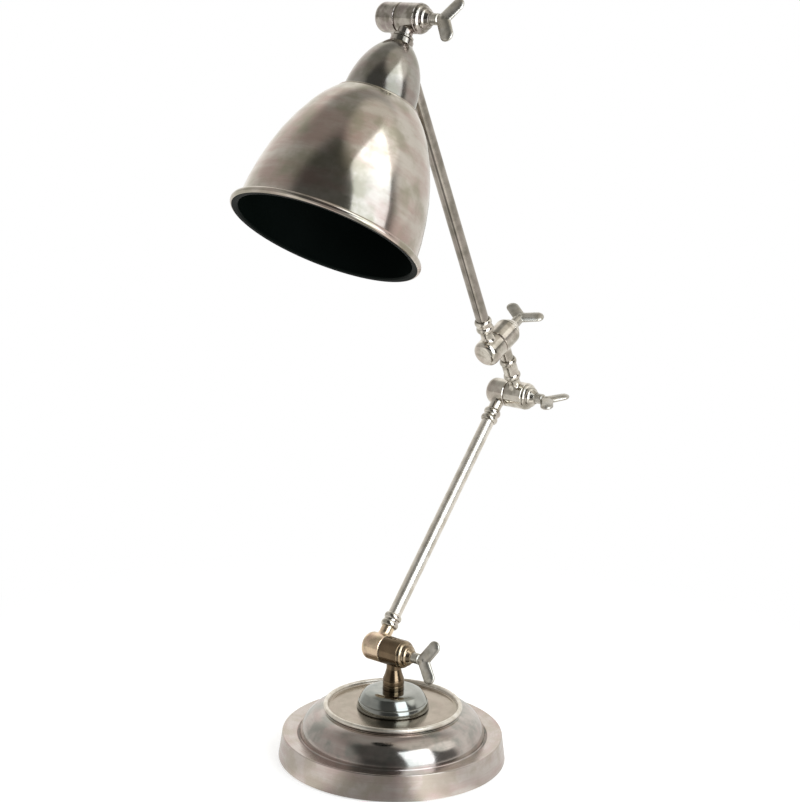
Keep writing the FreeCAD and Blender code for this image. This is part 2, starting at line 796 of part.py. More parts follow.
def collar(label, place, start, end, ring, bores):
    """A sleeve with a rounded ring at each end; its bores are (radius, from, to) along it."""
    steps = []
    for radius, low, high in reversed(bores):
        steps += [(radius, high), (radius, low)]
    turned(label, place, [
        ("collar_waist", start, "ccw", "collar_ring_round"),
        ("collar_waist", f"{start} + {ring}"),
        ("collar_waist", f"{end} - {ring}", "ccw", "collar_ring_round"),
        ("collar_waist", end),
        *steps,
    ])


def arm(name, place, length):
    """A tube between two collars; both collars are alike, facing each other."""
    middle = "neck_length + 0.5*collar_length"
    end = "neck_length + collar_length"
    bores = [
        ("spigot_radius + slide_fit", "neck_length", middle),
        ("tube_radius + slide_fit", middle, end),
    ]
    along, across = place.Rotation.multVec(Z), place.Rotation.multVec(X)
    far = frame(place.multVec(Z * value(length)), along.negative(), across)
    for side, spot in (("bottom", place), ("top", far)):
        collar(f"{name}_{side}_collar", spot, "neck_length", end, "collar_ring_length", bores)
    stop = f"{length} - neck_length - 0.5*collar_length"
    turned(f"{name}_tube", place, [
        ("tube_radius - tube_wall", middle),
        ("tube_radius", middle),
        ("tube_radius", stop),
        ("tube_radius - tube_wall", stop),
    ])


def arms():
    """Both long arms, and the one collar that joins the link's two necks."""
    arm("lower_arm", LOWER_ARM, "lower_arm_length")
    arm("upper_arm", UPPER_ARM, "upper_arm_length")
    end = "link_length - link_neck_length"
    bores = [("spigot_radius + slide_fit", "neck_length", end)]
    collar("link_collar", LINK, "neck_length", end, "link_ring_length", bores)


# ---------------------------------------------------------------- head

def head_mount():
    """Hollow nipple from the knuckle into the lampholder, its ringed collar and lock nut."""
    turned("head_nipple", HEAD, [
        ("wire_bore", "barrel_radius - barrel_wall"),
        ("nipple_radius", "barrel_radius - barrel_wall"),
        ("nipple_radius", "holder_shoulder"),
        ("wire_bore", "holder_shoulder"),
    ])
    turned("head_collar", HEAD, [
        ("nipple_radius + slide_fit", "head_neck_length"),
        ("head_collar_waist", "head_neck_length"),
        ("head_collar_waist + edge_break", "head_neck_length + edge_break"),
        ("head_collar_waist + edge_break", "head_neck_length + head_collar_foot"),
        ("head_collar_waist - edge_break", "head_neck_length + head_collar_foot + edge_break"),
        ("head_collar_radius", "head_neck_length + head_collar_foot + 3*edge_break"),
        ("head_collar_radius", "cap_top - edge_break"),
        ("head_collar_radius - edge_break", "cap_top"),
        ("nipple_radius + slide_fit", "cap_top"),
    ])
    hex_nut("head_lock_nut", HEAD, "lock_nut_flats", "lock_nut_height",
            "nipple_radius + slide_fit", "cap_top + cap_wall")


def head_cap():
    """Drawn cap over the lampholder: a pointed dome that runs into a straight rim."""
    turned("head_cap", HEAD, [
        ("nipple_radius + slide_fit", "cap_top"),
        ("cap_seat_radius", "cap_top", "ccw", "cap_top_bulge"),
        ("cap_shoulder_radius", "cap_shoulder", "ccw", "cap_side_bulge"),
        ("cap_radius", "cap_bottom"),
        ("cap_radius - cap_wall", "cap_bottom", "cw", "cap_side_bulge - cap_wall"),
        ("cap_shoulder_radius - 0.9*cap_wall", "cap_shoulder + 0.4*cap_wall", "cw", "cap_top_bulge - cap_wall"),
        ("cap_seat_radius - 0.5*cap_wall", "cap_top + cap_wall"),
        ("nipple_radius + slide_fit", "cap_top + cap_wall"),
    ])


def head_shade():
    """Spun bell with a beaded crown and an outward rolled lip."""
    bead = "shade_bead_size"
    crown = "cap_bottom + shade_wall"
    lip = "lip_size"
    lip_start = "shade_length - shade_lip_height"
    turned("shade", HEAD, [
        ("shade_hole_radius", "cap_bottom"),
        (f"shade_bead_radius - {bead}", "cap_bottom", "ccw", bead),
        ("shade_bead_radius", f"cap_bottom - {bead}", "ccw", bead),
        (f"shade_bead_radius + {bead}", "cap_bottom", "ccw", "shade_crown_bulge"),
        ("shade_top_radius", "shade_top", "ccw", "shade_upper_bulge"),
        ("shade_middle_radius", "shade_middle", "ccw", "shade_lower_bulge"),
        ("shade_mouth_radius", lip_start),
        (f"shade_mouth_radius + {lip}", f"shade_length - 2*{lip}", "ccw", lip),
        (f"shade_mouth_radius + 2*{lip}", f"shade_length - {lip}", "ccw", lip),
        (f"shade_mouth_radius + {lip}", "shade_length"),
        ("shade_mouth_radius", "shade_length - 0.3*shade_wall"),
        ("shade_mouth_radius - shade_wall", "shade_length - shade_wall"),
        ("shade_mouth_radius - shade_wall", lip_start, "cw", "shade_lower_bulge - shade_wall"),
        ("shade_middle_radius - shade_wall", "shade_middle", "cw", "shade_upper_bulge - shade_wall"),
        ("shade_top_radius - 0.9*shade_wall", "shade_top + 0.5*shade_wall", "cw", "shade_crown_bulge - shade_wall"),
        (f"shade_bead_radius + {bead} - shade_wall", crown),
        ("shade_hole_radius", crown),
    ])


def lampholder():
    """Moulded holder with its clamping ring, threaded sleeve and centre contact."""
    turned("lampholder", HEAD, [
        ("nipple_radius + slide_fit", "holder_top"),
        ("holder_boss_radius", "holder_top"),
        ("holder_boss_radius", "holder_shoulder"),
        ("holder_radius - holder_wall", "holder_shoulder"),
        ("holder_radius", "holder_shoulder + holder_wall"),
        ("holder_radius", "holder_bottom"),
        ("holder_radius - holder_wall", "holder_bottom"),
        ("holder_radius - holder_wall", "holder_floor"),
        ("0", "holder_floor"),
        ("0", "holder_floor - holder_wall"),
        ("nipple_radius + slide_fit", "holder_floor - holder_wall"),
    ])
    crown = "cap_bottom + shade_wall"
    turned("shade_ring", HEAD, [
        ("holder_radius + slide_fit", crown),
        ("shade_ring_radius", crown),
        ("shade_ring_radius", f"{crown} + shade_ring_length - edge_break"),
        ("shade_ring_radius - edge_break", f"{crown} + shade_ring_length"),
        ("holder_radius + slide_fit", f"{crown} + shade_ring_length"),
    ])
    turned("socket_sleeve", HEAD, [
        ("socket_radius - socket_wall", "holder_floor"),
        ("socket_radius", "holder_floor"),
        ("socket_radius", "holder_floor + socket_length"),
        ("socket_radius - socket_wall", "holder_floor + socket_length"),
    ])
    turned("centre_contact", HEAD, [
        ("0", "holder_floor"),
        ("contact_radius", "holder_floor"),
        ("contact_radius - edge_break", "holder_floor + contact_height"),
        ("0", "holder_floor + contact_height"),
    ])


def bulb():
    """Small round bulb: screw cap seated on the centre contact, and a hollow glass globe."""
    foot = "holder_floor + contact_height"
    rim = f"{foot} + bulb_cap_length"
    turned("bulb_cap", HEAD, [
        ("0", foot),
        ("contact_radius", foot),
        ("bulb_cap_radius - edge_break", f"{foot} + 2*contact_height"),
        ("bulb_cap_radius", f"{foot} + 3*contact_height"),
        ("bulb_cap_radius", rim),
        ("0", rim),
    ])
    equator = f"{rim} + bulb_glass_length - bulb_radius"
    drop = "0.7*bulb_radius"
    inner = "bulb_radius - bulb_wall"
    turned("bulb_glass", HEAD, [
        ("0", rim),
        ("bulb_neck_radius", rim),
        (f"bulb_neck_radius + bulb_wall", f"{rim} + 5*bulb_wall"),
        (drop, f"{equator} - {drop}", "ccw", "bulb_radius"),
        ("bulb_radius", equator, "ccw", "bulb_radius"),
        ("0", f"{equator} + bulb_radius"),
        ("0", f"{equator} + {inner}", "cw", inner),
        (inner, equator, "cw", inner),
        (f"{drop} - 0.7*bulb_wall", f"{equator} - {drop} + 0.7*bulb_wall"),
        ("bulb_neck_radius - bulb_wall", f"{rim} + 5*bulb_wall"),
        ("bulb_neck_radius - bulb_wall", f"{rim} + bulb_wall"),
        ("0", f"{rim} + bulb_wall"),
    ])


# ---------------------------------------------------------------- build, check, write

base_shell()
base_weight()
base_floor()
plate_screws()
base_rod()
cord_gland()
bun_and_stem()
hinges()
arms()
head_mount()
head_cap()
head_shade()
lampholder()
bulb()
doc.recompute()

for item in doc.Objects:
    if "Invalid" in item.State or "Error" in item.State:
        raise RuntimeError(f"{item.Label} failed to build: {item.State}")
for part in parts:
    if part.Shape.isNull() or not part.Shape.isValid() or not part.Shape.Solids:
        raise RuntimeError(f"{part.Label} has no valid solid")

os.makedirs("parts", exist_ok=True)
for part in parts:
    part.Shape.exportStep(f"parts/{part.Label}.step")
    print(f"{part.Label}: {len(part.Shape.Solids)} solid, {part.Shape.Volume / 1000:.2f} cm3")
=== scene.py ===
"""Finish, stage and camera of the tabletop searchlight lamp.

Sizes are in millimetres unless a name says otherwise. Each turned piece is drawn as an outline of
(radius, height) corners in its own frame, whose local Z is its axis. Those frames come from the joints.
"""
import json
import math

import bmesh
import bpy
from mathutils import Matrix, Vector

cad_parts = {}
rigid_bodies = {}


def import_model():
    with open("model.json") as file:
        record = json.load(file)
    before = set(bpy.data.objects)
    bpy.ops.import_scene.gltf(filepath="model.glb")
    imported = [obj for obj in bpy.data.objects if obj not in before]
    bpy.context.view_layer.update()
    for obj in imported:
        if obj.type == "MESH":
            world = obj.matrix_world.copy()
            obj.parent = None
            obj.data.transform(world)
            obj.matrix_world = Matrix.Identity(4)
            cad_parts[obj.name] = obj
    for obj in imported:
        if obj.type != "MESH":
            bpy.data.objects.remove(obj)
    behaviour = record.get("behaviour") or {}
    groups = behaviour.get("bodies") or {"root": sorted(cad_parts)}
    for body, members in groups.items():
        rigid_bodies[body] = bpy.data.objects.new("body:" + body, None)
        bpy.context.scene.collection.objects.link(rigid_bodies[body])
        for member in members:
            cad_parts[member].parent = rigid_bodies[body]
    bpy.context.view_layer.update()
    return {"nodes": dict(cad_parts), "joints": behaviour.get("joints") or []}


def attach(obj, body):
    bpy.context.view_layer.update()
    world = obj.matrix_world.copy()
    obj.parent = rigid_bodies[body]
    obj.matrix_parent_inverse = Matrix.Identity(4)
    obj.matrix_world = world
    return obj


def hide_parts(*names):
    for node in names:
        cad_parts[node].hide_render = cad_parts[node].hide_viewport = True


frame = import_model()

MM = 0.001
X = Vector((1, 0, 0))
Z = Vector((0, 0, 1))

# ---------------------------------------------------------------- where things are

# From a hinge's seam to the middle of the barrel half on either side of it.
ARM_OFFSET = 7.4
SHADE_TILT = math.radians(31.5)
# How far each pair of wings is turned about its screw.
WING_TURNS = {
    "base": math.radians(14),
    "elbow": math.radians(80),
    "twist": math.radians(14.5),
    "head": math.radians(30),
}

joints = {joint["name"]: joint for joint in frame["joints"]}


def pin_point(name):
    return Vector(joints[f"{name}_hinge"]["pos_m"])


def leaning(angle):
    """A direction in the YZ plane, leaning back from the vertical."""
    return Vector((0, math.sin(angle), math.cos(angle)))


def place(origin, along, across):
    """A frame with local Z along one direction and local X across it."""
    turn = Matrix((across, along.cross(across), along)).transposed()
    return Matrix.Translation(origin) @ turn.to_4x4()


offset = X * ARM_OFFSET * MM
lower_way = (pin_point("elbow") - pin_point("base")).normalized()
twist_way = Vector(joints["twist_hinge"]["axis"]).normalized()
upper_way = X.cross(twist_way)
shade_way = -leaning(SHADE_TILT)
twist_wings = X * math.cos(WING_TURNS["twist"]) - upper_way * math.sin(WING_TURNS["twist"])

UPRIGHT = place(Vector(), Z, X)
LOWER_ARM = place(pin_point("base") - offset, lower_way, X)
LINK = place(pin_point("elbow") + offset, upper_way, X)
UPPER_ARM = place(pin_point("twist") - twist_way * ARM_OFFSET * MM, upper_way, X)
HEAD = place(pin_point("head") + offset, shade_way, X)
HINGES = {name: place(pin_point(name), X, leaning(WING_TURNS[name])) for name in ("base", "elbow", "head")}
HINGES["twist"] = place(pin_point("twist"), twist_way, twist_wings)


# ---------------------------------------------------------------- shader graphs

class Graph:
    """The node tree of a material or a world, with short ways to add and join nodes."""

    # A mix node has sockets of the same names for numbers, vectors and colours. These are the colours'.
    MIX_FIRST, MIX_SECOND, MIX_RESULT = 6, 7, 2

    def __init__(self, owner, output_kind):
        owner.use_nodes = True
        self.owner = owner
        self.output_kind = output_kind
        self.tree = owner.node_tree
        self.tree.nodes.clear()

    def feed(self, socket, value):
        """Join a socket to another one, or set it. A colour is given as red, green and blue."""
        if isinstance(value, bpy.types.NodeSocket):
            self.tree.links.new(value, socket)
        elif socket.type == "RGBA":
            socket.default_value = (*value, 1)
        else:
            socket.default_value = value

    def node(self, kind, **inputs):
        """A new node. An input's name has underscores for its spaces."""
        node = self.tree.nodes.new(kind)
        for key, value in inputs.items():
            self.feed(node.inputs[key.replace("_", " ")], value)
        return node

    def operate(self, kind, operation, values):
        node = self.node(kind)
        node.operation = operation
        for socket, value in zip(node.inputs, values):
            self.feed(socket, value)
        return node.outputs

    def math(self, operation, *values):
        return self.operate("ShaderNodeMath", operation, values)["Value"]

    def vector(self, operation, *values):
        outputs = self.operate("ShaderNodeVectorMath", operation, values)
        return outputs["Value" if operation in ("LENGTH", "DOT_PRODUCT") else "Vector"]

    def weigh(self, first, second, share):
        """A share of the first value and the rest of the second."""
        return self.math("ADD", self.math("MULTIPLY", first, share), self.math("MULTIPLY", second, 1 - share))

    def noise(self, vector, w=None, scale=1.0, detail=3.0):
        """Smooth noise between 0 and 1, in four dimensions where W is given."""
        node = self.node("ShaderNodeTexNoise", Vector=vector, Scale=scale, Detail=detail, Roughness=0.55)
        if w is not None:
            node.noise_dimensions = "4D"
            self.feed(node.inputs["W"], w)
        return node.outputs["Fac"]

    def span(self, value, low, high, start=0.0, end=1.0):
        """The value's stretch from low to high, eased onto start to end."""
        node = self.node("ShaderNodeMapRange", Value=value, From_Min=low, From_Max=high,
                         To_Min=start, To_Max=end)
        node.interpolation_type = "SMOOTHSTEP"
        return node.outputs["Result"]

    def mix(self, factor, first, second):
        """A colour between two others."""
        node = self.node("ShaderNodeMix")
        node.data_type = "RGBA"
        self.feed(node.inputs["Factor"], factor)
        self.feed(node.inputs[self.MIX_FIRST], first)
        self.feed(node.inputs[self.MIX_SECOND], second)
        return node.outputs[self.MIX_RESULT]

    def mix_shaders(self, factor, first, second):
        node = self.node("ShaderNodeMixShader", Fac=factor)
        self.feed(node.inputs[1], first.outputs[0])
        self.feed(node.inputs[2], second.outputs[0])
        return node

    def bump(self, height, depth):
        """The normal of a relief that is a depth in millimetres high."""
        return self.node("ShaderNodeBump", Height=height, Distance=depth * MM).outputs["Normal"]

    def finish(self, shader):
        output = self.node(self.output_kind)
        self.feed(output.inputs["Surface"], shader.outputs[0])
        return self.owner


def material_graph(name):
    return Graph(bpy.data.materials.new(name), "ShaderNodeOutputMaterial")


def per_metre(size):
    """The noise scale whose features are about a size in millimetres."""
    return 1000 / size


def turned_place(graph, spot):
    """The shaded point in a frame: local place, height and radius in metres, and outward unit vector."""
    back = spot.inverted()
    point = graph.node("ShaderNodeTexCoord").outputs["Object"]
    mapping = graph.node("ShaderNodeMapping", Vector=point, Location=back.translation,
                         Rotation=back.to_euler())
    local = mapping.outputs["Vector"]
    height = graph.node("ShaderNodeSeparateXYZ", Vector=local).outputs["Z"]
    flat = graph.vector("MULTIPLY", local, (1, 1, 0))
    return local, height, graph.vector("LENGTH", flat), graph.vector("NORMALIZE", flat)


def around(graph, height, radius, outward, turns, pitch):
    """A noise vector and W that change with each pitch along the outline and slowly around the axis."""
    rate = 1 / (pitch * MM)
    slow = graph.vector("MULTIPLY", outward, (turns, turns, turns))
    lift = graph.node("ShaderNodeCombineXYZ", Z=graph.math("MULTIPLY", height, rate)).outputs["Vector"]
    return graph.vector("ADD", slow, lift), graph.math("MULTIPLY", radius, rate)


def turning_way(graph, spot):
    """The world direction in which a point moves as its piece turns about a frame's axis."""
    point = graph.node("ShaderNodeTexCoord").outputs["Object"]
    axis = (spot.to_3x3() @ Z).normalized()
    spoke = graph.vector("SUBTRACT", point, spot.translation)
    tangent = graph.vector("NORMALIZE", graph.vector("CROSS_PRODUCT", axis, spoke))
    world = graph.node("ShaderNodeVectorTransform", Vector=tangent)
    world.vector_type = "VECTOR"
    world.convert_from = "OBJECT"
    world.convert_to = "WORLD"
    return world.outputs["Vector"]


# ---------------------------------------------------------------- finishes

class Look:
    """Colours and surface of one antique metal finish.

    Patina is how far the silver turns warm and cool, in blotches and in bands around the axis that
    have these sizes. Brushing stretches the highlights, line_depth is the relief of its lines, and
    darkening reaches as far as crevice from a corner: partly the finish's dark oxide in its hollows,
    partly painted shade in crevices and where parts meet. Lengths are in millimetres.
    """

    def __init__(self, name, silver, warm, cool, roughness, line_depth=0.006, patina=0.7, brushing=0.3,
                 blotch=22, band=7, crevice=1.4):
        self.name = name
        self.silver = silver
        self.warm = warm
        self.cool = cool
        self.roughness = roughness
        self.line_depth = line_depth
        self.patina = patina
        self.brushing = brushing
        self.blotch = blotch
        self.band = band
        self.crevice = crevice


SPUN = Look("spun_silver", silver=(0.60, 0.555, 0.495), warm=(0.455, 0.335, 0.295), cool=(0.36, 0.34, 0.26),
            roughness=0.13, line_depth=0.004, patina=0.85, brushing=0.6, blotch=30, band=11)
CAP = Look("cap_silver", silver=(0.40, 0.38, 0.345), warm=(0.325, 0.265, 0.24), cool=(0.27, 0.26, 0.21),
           roughness=0.17, line_depth=0.004, patina=0.85, brushing=0.5)
WALL = Look("wall_silver", silver=(0.59, 0.54, 0.505), warm=(0.50, 0.375, 0.35), cool=(0.46, 0.41, 0.34),
            roughness=0.21, line_depth=0.003)
DOME = Look("dome_silver", silver=(0.54, 0.495, 0.46), warm=(0.44, 0.35, 0.325), cool=(0.33, 0.335, 0.305),
            roughness=0.15, patina=0.8)
PLATE = Look("plate_silver", silver=(0.45, 0.39, 0.32), warm=(0.36, 0.295, 0.24), cool=(0.33, 0.29, 0.225),
             roughness=0.19)
POLISHED = Look("polished_silver", silver=(0.42, 0.43, 0.40), warm=(0.34, 0.34, 0.32),
                cool=(0.24, 0.27, 0.26), roughness=0.13, patina=0.5)
BRONZED = Look("bronzed_silver", silver=(0.22, 0.16, 0.10), warm=(0.16, 0.105, 0.065),
               cool=(0.11, 0.085, 0.05), roughness=0.20)
BRASSED = Look("brassed_silver", silver=(0.44, 0.35, 0.24), warm=(0.34, 0.25, 0.16), cool=(0.20, 0.165, 0.11),
               roughness=0.15, blotch=8, band=3)
GILDED = Look("gilded_silver", silver=(0.88, 0.71, 0.50), warm=(0.74, 0.52, 0.42), cool=(0.50, 0.42, 0.29),
              roughness=0.24, blotch=8, band=3)
TURNED = Look("turned_silver", silver=(0.74, 0.70, 0.62), warm=(0.52, 0.45, 0.40), cool=(0.33, 0.305, 0.25),
              roughness=0.13, patina=0.8, blotch=15, band=5, crevice=2.2)
DULLED = Look("dulled_silver", silver=(0.55, 0.515, 0.46), warm=(0.36, 0.30, 0.285), cool=(0.23, 0.21, 0.17),
              roughness=0.13, patina=0.9, blotch=11, band=4, crevice=2.2)
# A lighter copy of the silver: painted light, for the lower tube and the foot's rim, which the light makes
# glare nearly white.
LIT = Look("lit_silver", silver=(0.90, 0.86, 0.79), warm=(0.79, 0.72, 0.63), cool=(0.63, 0.58, 0.49),
            roughness=0.38, blotch=12)
# The upper tube's silver is a darker copy: painted shade, for the tube lying behind the lamp's shade and
# mirroring its dark back.
SHADED = Look("shaded_silver", silver=(0.42, 0.385, 0.34), warm=(0.33, 0.285, 0.255),
              cool=(0.20, 0.185, 0.15), roughness=0.12, blotch=20)
CAST = Look("cast_silver", silver=(0.575, 0.55, 0.50), warm=(0.49, 0.45, 0.375), cool=(0.375, 0.36, 0.31),
            roughness=0.36, blotch=8)

# Crevice darkening: partly the dark oxide of the antique finish, partly painted shade in crevices and between
# parts.
OXIDE_AND_SHADE = (0.035, 0.028, 0.02)
# Streaks have the cool tone, darkened to this share.
STREAK_TONE = 0.55
# Stains are this much finer than blotches, and their noise is taken so many metres away.
STAIN_FINENESS = 1.4
STAIN_SHIFT = (3, 7, 5)
# Nearly all of a noise's values lie between these.
COMMON_NOISE = (0.3, 0.7)
# How far noise moves a roughness up and down.
ROUGHNESS_REACH = 0.05
# Millimetres between brushing lines, and how much brushing and bands change on their way around.
BRUSH_PITCH, BRUSH_TURNS = 0.4, 1.4
BAND_TURNS = 1.3
CAST_GRAIN, CAST_RELIEF = 0.9, 0.05
# A quarter turn, which lays the stretch of the highlights across the brushing.
ACROSS = 0.25


def uneven(graph, value, roughness):
    """A roughness that a noise value moves a little up and down."""
    return graph.span(value, *COMMON_NOISE, roughness - ROUGHNESS_REACH, roughness + ROUGHNESS_REACH)


def stained(graph, look, point):
    """Noise for the cool stains."""
    shifted = graph.vector("ADD", point, STAIN_SHIFT)
    return graph.noise(shifted, scale=STAIN_FINENESS * per_metre(look.blotch), detail=3)


def aged(graph, look, clouds, stains, fine):
    """Silver with warm and cool patches and fine streaks, dark in its crevices from oxide and painted shade.
    """
    warmth = graph.math("MULTIPLY", graph.span(clouds, low=0.40, high=0.62), look.patina)
    coolness = graph.math("MULTIPLY", graph.span(stains, low=0.42, high=0.66), look.patina)
    body = graph.mix(coolness, graph.mix(warmth, look.silver, look.warm), look.cool)
    streak = tuple(STREAK_TONE * tone for tone in look.cool)
    body = graph.mix(graph.span(fine, low=0.50, high=0.80, end=0.18), body, streak)
    # Ambient occlusion darkens the crevices: partly oxide, partly painted shade where parts meet.
    crevice = graph.node("ShaderNodeAmbientOcclusion", Distance=look.crevice * MM)
    crevice.samples = 6
    return graph.mix(graph.span(crevice.outputs["AO"], low=0.25, high=0.80, start=0.8, end=0.0), body, OXIDE_AND_SHADE)


def turned_metal(look, label, spot):
    """Antique plate on a turned or spun piece: brushing and patina that run around its axis."""
    graph = material_graph(f"{look.name}_{label}")
    local, *ring_place = turned_place(graph, spot)
    fine = graph.noise(*around(graph, *ring_place, BRUSH_TURNS, BRUSH_PITCH), detail=4)
    bands = graph.noise(*around(graph, *ring_place, BAND_TURNS, look.band), detail=3)
    clouds = graph.noise(local, scale=per_metre(look.blotch), detail=4)
    patches = graph.weigh(bands, clouds, share=0.6)
    body = aged(graph, look, patches, stained(graph, look, local), fine)
    shader = graph.node("ShaderNodeBsdfPrincipled", Base_Color=body, Metallic=1.0,
                        Roughness=uneven(graph, graph.weigh(fine, patches, share=0.4), look.roughness),
                        Normal=graph.bump(fine, look.line_depth), Tangent=turning_way(graph, spot),
                        Anisotropic=look.brushing, Anisotropic_Rotation=ACROSS)
    return graph.finish(shader)


def cast_metal(look, label):
    """Antique plate on a casting: a soft orange-peel skin, darker in its hollows from oxide and painted
    shade.
    """
    graph = material_graph(f"{look.name}_{label}")
    point = graph.node("ShaderNodeTexCoord").outputs["Object"]
    skin = graph.noise(point, scale=per_metre(CAST_GRAIN), detail=4)
    clouds = graph.noise(point, scale=per_metre(look.blotch), detail=3)
    body = aged(graph, look, clouds, stained(graph, look, point), skin)
    shader = graph.node("ShaderNodeBsdfPrincipled", Base_Color=body, Metallic=1.0,
                        Roughness=uneven(graph, skin, look.roughness), Normal=graph.bump(skin, CAST_RELIEF))
    return graph.finish(shader)


def plain_finish(name, tone, second, roughness, grain, depth, metallic=0.0, shine=0.5):
    """A surface without patina: two near tones, a grain and its relief."""
    graph = material_graph(name)
    point = graph.node("ShaderNodeTexCoord").outputs["Object"]
    grit = graph.noise(point, scale=per_metre(grain), detail=5)
    body = graph.mix(graph.span(grit, 0.35, 0.7), tone, second)
    shader = graph.node("ShaderNodeBsdfPrincipled", Base_Color=body, Metallic=metallic,
                        Roughness=uneven(graph, grit, roughness), Normal=graph.bump(grit, depth),
                        Specular_IOR_Level=shine)
    return graph.finish(shader)


def frosted_glass():
    graph = material_graph("bulb_frosted_glass")
    point = graph.node("ShaderNodeTexCoord").outputs["Object"]
    frost = graph.noise(point, scale=per_metre(0.4), detail=2)
    shader = graph.node("ShaderNodeBsdfPrincipled", Base_Color=(0.93, 0.92, 0.89), IOR=1.5,
                        Roughness=uneven(graph, frost, 0.33), Transmission_Weight=0.55,
                        Normal=graph.bump(frost, 0.01))
    return graph.finish(shader)


# ---------------------------------------------------------------- turned meshes

# An arc has a point about every so many degrees.
ARC_STEP = 6
# A corner that turns less than this stays as it is.
BLUNT_TURN = math.radians(14)
# The largest share of an edge that the rounding of one of its corners takes.
CORNER_SHARE = 0.45


def arc_points(start, end, radius, side):
    """Points after start, up to before end, on the shorter arc; its centre is left for "ccw"."""
    start, end = Vector(start), Vector(end)
    hand = 1 if side == "ccw" else -1
    chord = end - start
    rise = math.sqrt(max(radius ** 2 - (chord.length / 2) ** 2, 0))
    left = Vector((-chord.y, chord.x)).normalized()
    centre = (start + end) / 2 + left * hand * rise
    turn = 2 * math.asin(min(chord.length / 2 / radius, 1))
    count = max(2, math.ceil(math.degrees(turn) / ARC_STEP))
    spoke = start - centre
    swings = [Matrix.Rotation(hand * turn / count * number, 2) for number in range(1, count)]
    return [tuple(centre + swing @ spoke) for swing in swings]


def trace(outline):
    """An outline's points: each corner, and the arc after it where the corner names one."""
    points = []
    for corner, following in zip(outline, outline[1:] + outline[:1]):
        here = corner[:2]
        points.append(here)
        if len(corner) > len(here):
            side, radius = corner[2:]
            points += arc_points(here, following[:2], radius, side)
    return points


def rounded(before, here, after, radius):
    """The points that take the place of a corner."""
    way_in, way_out = here - before, after - here
    if way_in.angle(way_out) < BLUNT_TURN:
        return [tuple(here)]
    reach = min(radius, way_in.length * CORNER_SHARE, way_out.length * CORNER_SHARE)
    first = here - way_in.normalized() * reach
    last = here + way_out.normalized() * reach
    shares = (0, 0.25, 0.5, 0.75, 1)
    return [tuple(first.lerp(here, share).lerp(here.lerp(last, share), share)) for share in shares]


def soften(points, radius):
    """The same closed outline with every sharp corner rounded."""
    soft = []
    for before, here, after in zip(points[-1:] + points[:-1], points, points[1:] + points[:1]):
        soft += rounded(Vector(before), Vector(here), Vector(after), radius)
    return soft


def settle(build, name, spot):
    """A mesh of what was drawn in a frame's own coordinates, put where that frame stands."""
    build.transform(spot)
    mesh = bpy.data.meshes.new(name)
    build.to_mesh(mesh)
    build.free()
    return mesh


def add_piece(name, mesh, body, node, materials):
    """Link a mesh as a piece of the lamp that rides on a body and stands for a CAD node."""
    piece = bpy.data.objects.new(name, mesh)
    bpy.context.scene.collection.objects.link(piece)
    for material in materials:
        mesh.materials.append(material)
    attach(piece, body)
    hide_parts(node)
    return piece


def weigh_normals(piece):
    """Keep flats flat beside their rounded corners."""
    modifier = piece.modifiers.new("flat_faces", "WEIGHTED_NORMAL")
    modifier.keep_sharp = True
    modifier.weight = 80


def lathe(name, body, spot, outline, node, materials, steps, round_off=0.25):
    """A closed surface of revolution around a frame's axis, with softened corners."""
    build = bmesh.new()
    rings = []
    for radius, height in soften(trace(outline), round_off):
        ring = []
        for number in range(steps):
            angle = 2 * math.pi * number / steps
            corner = (radius * MM * math.cos(angle), radius * MM * math.sin(angle), height * MM)
            ring.append(build.verts.new(corner))
        rings.append(ring)
    for ring, above in zip(rings, rings[1:] + rings[:1]):
        for number in range(steps):
            beyond = (number + 1) % steps
            build.faces.new((ring[number], ring[beyond], above[beyond], above[number]))
    bmesh.ops.recalc_face_normals(build, faces=build.faces)
    mesh = settle(build, name, spot)
    mesh.shade_smooth()
    piece = add_piece(name, mesh, body, node, materials)
    weigh_normals(piece)
    return piece


# ---------------------------------------------------------------- foot

# Between pieces that sit on each other, so that no two faces coincide.
SEAT_GAP = 0.05
ROD_HOLE = 5.2
PLATE_TOP = 38.6
BUN_TOP = 53.3

# The rim's lighter copy of the silver is painted light.
FOOT_LOOKS = {"wall": WALL, "dome": DOME, "plate": PLATE, "rim": LIT}
# Radii where the finishes meet, and the height where the rim's begins.
LEDGE_START = 71
RIM_INSIDE, RIM_OUTSIDE, RIM_FOOT = 48.2, 52.1, 38.8
DOME_START = 50


def foot_finish(radius, height):
    """The name of the cover's finish at a place on it."""
    if radius > LEDGE_START:
        return "wall"
    if RIM_INSIDE < radius < RIM_OUTSIDE and height > RIM_FOOT:
        return "rim"
    return "dome" if radius > DOME_START else "plate"


def foot_cover():
    """Spun cover with a wall, a grooved ledge, a dome, and a beaded rim around its top plate."""
    wall = [(85, 1), (82.4, 19.2, "ccw", 0.8), (81.6, 20)]
    ledge = [(71.3, 18.7), (70.3, 17.4)]
    dome = [(69.3, 18.6, "ccw", 22), (51.6, 37.6)]
    rim = [(50.56, 38.4, "ccw", 1.8), (52, 40.2, "ccw", 1.8), (50.2, 42, "ccw", 1.8), (48.4, 40.2, "cw", 1.6)]
    plate = [(46.8, PLATE_TOP), (ROD_HOLE, PLATE_TOP), (ROD_HOLE, 37.4), (48.4, 37.4), (49.2, 36.4)]
    inside = [(66, 19), (70, 16), (72, 17.2), (80.6, 18.6), (83.6, 1)]
    finishes = [turned_metal(look, f"foot_{label}", UPRIGHT) for label, look in FOOT_LOOKS.items()]
    cover = lathe("foot_cover", "base", UPRIGHT, wall + ledge + dome + rim + plate + inside, "base_shell",
                  finishes, steps=192)
    labels = list(FOOT_LOOKS)
    for face in cover.data.polygons:
        middle = face.center / MM
        face.material_index = labels.index(foot_finish(math.hypot(middle.x, middle.y), middle.z))


